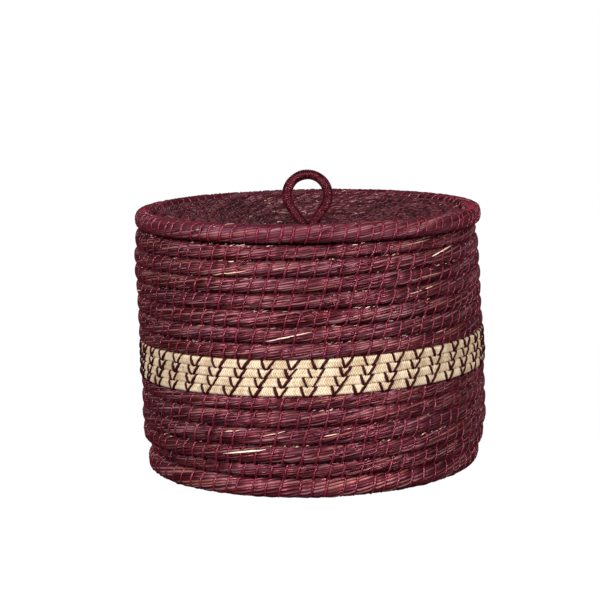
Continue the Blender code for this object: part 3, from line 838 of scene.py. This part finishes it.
def put_band_stitches(name, path, finish, seed, start):
    """Dark stitches over a plait in V pairs: one long thread that goes down outside and up inside
    twice for each V. Its place along the cord joins the tops and feet of the legs in turn, and a
    turn has a whole number of pairs and a small step more, so that the pairs stand in columns."""
    pair_step = (path["along"][-1] / 2 + BAND_PAIR_SHIFT * 2) / BAND_PAIRS_PER_TURN
    pairs = int((path["along"][-1] - start) / pair_step)
    part = np.arange(0, pairs * 40) / 20.0
    pair = np.floor(part / 2.0)
    chance = drift(part / 2.0, seed + 5)
    places = (*BAND_THREAD_PLACES, pair_step, pair_step)
    down = part - 2.0 * pair
    along = (start + pair * pair_step + np.interp(down, BAND_THREAD_KNOTS, places)
             + BAND_THREAD_CHANCE * chance - 0.0007 * np.sin(np.minimum(down, 0.5) * FULL_TURN))
    keep = (along > 0.001) & (along < path["along"][-1] - 0.001)
    along, part = along[keep], part[keep]
    around = math.pi / 2 - FULL_TURN * part
    line = on_cord(path, along, around, BAND_THREAD_LIFT, BAND_THREAD_DROOP)
    width = BAND_THREAD_RADIUS * (1.0 + 0.30 * drift(part * 3.0, seed + 6))
    return put_thread_tube(name, path, along, line, width, BAND_THREAD_SIDES, part * 60.0,
                           finish, "basket")


def make_lid(grass, rim_grass, dull_grass, undyed, crimson, rim_crimson_lit, lid_crimson_shaded, cord_wine):
    """Rim row, dished spiral, seat ring, handle loop and knot, and the lid's loose straws. The
    dish falls by its depth times one less the square of the radius as a share of the rim's."""
    turn, side, thickness = WALL_LAY
    mouth_height = side[-1] + thickness[-1] - TURN_GAP / 2
    rim_ring = RIM_CORD_HEIGHT / 2
    rim_middle = RIM_RADIUS - rim_ring * FLAT_SHARE
    rim_height = mouth_height + SEAT_GAP + rim_ring
    rim_top = rim_height + rim_ring
    rim = row_path(rim_middle - 0.0002, rim_height + 0.0002, rim_ring * 0.95, rim_ring - 0.0002,
                   RIM_CONTACTS)
    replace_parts(put_bundle("lid_rim_straws", rim, rim_grass, "lid", 101, RIM_STITCH_STEP, blades=24,
                           ring_step=0.0025, blade_height=RIM_BLADE_HEIGHT, valley_shade=0.5),
                "lid_rim_coil")
    put_thread("lid_rim_stitches", rim, rim_crimson_lit, "lid", 101, RIM_STITCH_STEP)

    leg_reach = TURN_GAP / 2 + 2.0 * HANDLE_CORD_RADIUS
    start = (leg_reach + TURN_GAP / 2) / FLAT_FACET_SHARE
    limit = rim_middle * WALL_FACET_SHARE - rim_ring * FLAT_SHARE - TURN_GAP / 2
    pitch = (limit - start) / LID_ROWS
    full_ring = (pitch * FLAT_FACET_SHARE - TURN_GAP) / 2 / FLAT_SHARE

    def dished_height(radius):
        return rim_top - LID_DISH_DEPTH * (1.0 - (radius / rim_middle) ** 2) - full_ring

    lid = flat_path(LID_ROWS, start, pitch, LID_START_ANGLE, dished_height, full_ring)
    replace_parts(put_bundle("lid_straws", lid, dull_grass, "lid", 111, LID_STITCH_STEP,
                           twist=LID_STRAW_TWIST), "lid_coil")
    put_thread("lid_stitches", lid, lid_crimson_shaded, "lid", 111, LID_STITCH_STEP)

    seat_ring = SEAT_RING_HEIGHT / 2
    wall_ring = (UPPER_ROW_HEIGHT - TURN_GAP) / 2
    mouth_inner = WALL_RADIUS - MOUTH_INSET - 2.0 * wall_ring * FLAT_SHARE
    seat_middle = mouth_inner - MOUTH_CLEARANCE - seat_ring * FLAT_SHARE
    seat_height = dished_height(seat_middle) - full_ring - SEAT_GAP - seat_ring
    seat = row_path(seat_middle, seat_height, seat_ring * 0.88, seat_ring, SEAT_CONTACTS)
    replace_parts(put_bundle("lid_seat_straws", seat, grass, "lid", 121, blades=16), "lid_seat_ring")
    put_thread("lid_seat_stitches", seat, crimson, "lid", 121)

    make_handle(rim_top, dished_height(start + pitch / 2) - full_ring, cord_wine)
    for name, path, finish, seed, count, stitch in (
            ("lid", lid, dull_grass, 131, 300, (LID_STITCH_STEP, 111)),
            ("lid_rim", rim, rim_grass, 141, 60, (RIM_STITCH_STEP, 101))):
        put_straws(name + "_undyed_straws", path, undyed, "lid", seed, count=count // 5,
                   spread=(0.3, 2.8), lengths=(0.0015, 0.004), width=0.00032,
                   rise=(0.0, 0.0006), stitch=stitch)
        put_straws(name + "_loose_straws", path, finish, "lid", seed + 1, count=3 * count,
                   spread=(-0.6, 2.8), lengths=(0.005, 0.013), width=0.00070,
                   rise=(0.0, 0.0005), stitch=stitch, slopes=(1.0, 3.5))
        put_straws(name + "_hairs", path, undyed, "lid", seed + 2, count=count // 4,
                   spread=(0.2, 2.9), lengths=(0.003, 0.009), width=0.00016,
                   rise=(0.0, 0.0020), stitch=stitch, slopes=(-6.0, 6.0))


def make_handle(rim_top, lid_underside, finish):
    """Wrapped cord loop and knot. The loop's line is a round arc with straight runs along its
    tangents to where the legs meet, and its radius rises and falls once for each wrap."""
    arc_height = rim_top + HANDLE_RISE - HANDLE_CORD_RADIUS - HANDLE_LOOP_RADIUS
    leg_x = TURN_GAP / 2 + HANDLE_CORD_RADIUS
    meet_height = rim_top - HANDLE_LEG_DROP
    knot_top = lid_underside - SEAT_GAP
    away = math.hypot(leg_x, arc_height - meet_height)
    lean = math.atan2(leg_x, arc_height - meet_height)
    half_arc = math.pi - math.acos(HANDLE_LOOP_RADIUS / away) - lean

    angle = np.linspace(half_arc, -half_arc, LOOP_ARC_PLACES)
    arc = vectors(HANDLE_LOOP_RADIUS * np.sin(angle), 0.0,
                  arc_height + HANDLE_LOOP_RADIUS * np.cos(angle))
    right = np.array([(leg_x, 0.0, knot_top + SEAT_GAP), (leg_x, 0.0, meet_height)])
    line = np.concatenate([right, arc, right[::-1] * (-1.0, 1.0, 1.0)])
    lengths = np.concatenate([[0.0], np.cumsum(np.linalg.norm(np.diff(line, axis=0), axis=1))])
    place = np.linspace(0.0, lengths[-1], LOOP_PLACES)
    line = points_at(place, lengths, line)
    soft = np.ones(LOOP_SMOOTH_PLACES) / LOOP_SMOOTH_PLACES
    for axis in (0, 2):
        padded = np.pad(line[:, axis], LOOP_SMOOTH_PLACES // 2, mode="reflect", reflect_type="odd")
        line[:, axis] = np.convolve(padded, soft, mode="valid")
    around = np.arange(24) * (FULL_TURN / 24)
    wrap = (place[:, None] / WRAP_STEP + around[None, :] / math.pi
            + 0.3 * drift(place / 0.005, 5)[:, None] + 20.0)
    ridge = np.abs(np.sin(math.pi * wrap)) ** 0.7
    rings = tube_rings(line, np.array((0.0, -1.0, 0.0)), np.ones(len(line)), 24) - line[:, None]
    radius = (HANDLE_CORD_RADIUS + 0.0001 + WRAP_RISE * ridge
              + 0.0001 * drift(place / 0.007, 6)[:, None])
    rings = line[:, None] + rings * radius[..., None]
    grain = vectors(wrap * 3.0, around * 2.0, ridge)
    # The first part counts the wraps, which the material darkens at their edges as painted shade.
    facts = vectors(wrap, 0.0, 0.0)
    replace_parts(put_tubes("handle_wrapped_loop", rings[None], finish, "lid", "wrapped_cord",
                          grain=grain[None], straw=facts[None]), "handle_loop")
    put_knot(knot_top, finish)


def put_knot(knot_top, finish):
    """Knot under the lid: a wrapped pad, its radius times (1 - |h|^5)^(1/5) at a share h of its
    half height, with a ridge for each wrap."""
    height = np.linspace(-1.0, 1.0, 81)
    profile = np.maximum(KNOT_RADIUS * (1.0 - np.abs(height) ** 5) ** 0.2, 0.001)
    around = -np.arange(48) * (FULL_TURN / 48)
    wrap = height[:, None] * KNOT_WRAPS + around[None, :] / FULL_TURN
    reach = profile[:, None] + KNOT_WRAP_RISE * (np.abs(np.sin(math.pi * wrap)) ** 0.7 - 1.0)
    level = (knot_top - KNOT_HEIGHT / 2 + KNOT_HEIGHT / 2 * height)[:, None]
    spots = vectors(reach * np.cos(around), reach * np.sin(around), level)
    grain = vectors(wrap * 3.0, around * 3.0, reach * 300.0)
    # The first part counts the wraps, which the material darkens at their edges as painted shade.
    facts = vectors(wrap + 20.0, 0.0, 0.0)
    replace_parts(put_tubes("handle_wrapped_knot", spots[None], finish, "lid", "wrapped_cord",
                          grain=grain[None], straw=facts[None]), "handle_knot")


# Floor, light and camera
FLOOR_REACH = 12.0
FLOOR_TONES = ((0.3, (0.07, 0.07, 0.07)), (0.7, (0.09, 0.09, 0.09)))
GLOW_DISTANCES = (0.25, 0.9)
GLOW_STRENGTHS = (0.97, 1.0)
FILL_STRENGTH = 0.12
GLOSSY_SHARE = 0.01
LAMP_SIZE = 0.35
LAMP_AIM = (0.0, 0.0, 0.12)
LEFT_LAMP = ("left_lamp", (-1.36, -1.76, 0.94), 51.0)
RIGHT_LAMP = ("right_lamp", (1.24, -1.87, 0.94), 50.0)
CAMERA_PLACE = (0.0, -1.9, 0.431)
CAMERA_LENS = 130.8
CAMERA_SENSOR_WIDTH = 36.0
CAMERA_DEGREES = (8.58, 0.25, 1.1)
CAMERA_CLIP = (0.05, 60.0)


def make_surroundings():
    """White surroundings, the floor, two soft lamps and the camera."""
    make_floor()
    make_world()
    for lamp in (LEFT_LAMP, RIGHT_LAMP):
        add_lamp(*lamp)
    bpy.context.scene.view_settings.view_transform = "Standard"
    make_camera()


def make_floor():
    """Dark floor that sends little light back, with a white glow that only the camera sees and
    that grows outwards from the basket."""
    floor_mesh = bpy.data.meshes.new("floor")
    corners = [(FLOOR_REACH * x, FLOOR_REACH * y, 0.0)
               for x, y in ((-1, -1), (1, -1), (1, 1), (-1, 1))]
    floor_mesh.from_pydata(corners, [], [(0, 1, 2, 3)])
    floor = add_object("floor", floor_mesh)
    material, tree, shader = start_material("floor_paper", 0.9)
    spot = add_node(tree, "ShaderNodeTexCoord")
    mottle = add_node(tree, "ShaderNodeTexNoise", {"Vector": spot.outputs["Object"], "Scale": 3.0})
    rays = add_node(tree, "ShaderNodeLightPath")
    distance = add_node(tree, "ShaderNodeVectorMath", {0: spot.outputs["Object"]},
                        operation="LENGTH")
    glow = add_node(tree, "ShaderNodeMapRange",
                    {"Value": distance.outputs["Value"], "From Min": GLOW_DISTANCES[0],
                     "From Max": GLOW_DISTANCES[1], "To Min": GLOW_STRENGTHS[0],
                     "To Max": GLOW_STRENGTHS[1]})
    seen = sum_of(tree, rays.outputs["Is Camera Ray"], glow.outputs[0], "MULTIPLY")
    set_inputs(tree, shader, {"Base Color": ramp(tree, mottle.outputs[0], FLOOR_TONES),
                              "Specular IOR Level": 0.0, "Emission Color": (1.0, 1.0, 1.0, 1.0),
                              "Emission Strength": seen})
    floor_mesh.materials.append(material)


def make_world():
    """World that the camera sees as white and that fills the basket's shadows a little."""
    world = bpy.context.scene.world or bpy.data.worlds.new("studio")
    bpy.context.scene.world = world
    world.use_nodes = True
    tree = world.node_tree
    tree.nodes.clear()
    rays = add_node(tree, "ShaderNodeLightPath")
    glossy = sum_of(tree, rays.outputs["Is Glossy Ray"], GLOSSY_SHARE, "MULTIPLY")
    seen = sum_of(tree, rays.outputs["Is Camera Ray"], glossy, "MAXIMUM")
    seen = sum_of(tree, seen, rays.outputs["Is Transmission Ray"], "MAXIMUM")
    background = add_node(tree, "ShaderNodeBackground",
                          {"Color": (1.0, 1.0, 1.0, 1.0),
                           "Strength": between(tree, seen, FILL_STRENGTH, 1.0)})
    output = add_node(tree, "ShaderNodeOutputWorld")
    tree.links.new(background.outputs[0], output.inputs["Surface"])


def add_lamp(name, place, power):
    """Soft square lamp that faces the basket's middle."""
    light = bpy.data.lights.new(name, "AREA")
    light.shape = "SQUARE"
    light.size = LAMP_SIZE
    light.energy = power
    lamp = add_object(name, light)
    lamp.location = place
    lamp.rotation_euler = (Vector(LAMP_AIM) - Vector(place)).to_track_quat("-Z", "Y").to_euler()


def make_camera():
    """Camera at the photograph's place: pitched down, and turned and rolled a little."""
    camera = bpy.data.cameras.new("camera")
    camera.sensor_width = CAMERA_SENSOR_WIDTH
    camera.lens = CAMERA_LENS
    thing = add_object("camera", camera)
    pitch, turned, roll = (math.radians(degrees) for degrees in CAMERA_DEGREES)
    matrix = (Matrix.Rotation(turned, 4, "Z") @ Matrix.Rotation(math.pi / 2 - pitch, 4, "X")
              @ Matrix.Rotation(-roll, 4, "Z"))
    matrix.translation = CAMERA_PLACE
    thing.matrix_world = matrix
    camera.clip_start, camera.clip_end = CAMERA_CLIP
    bpy.context.scene.camera = thing


main()
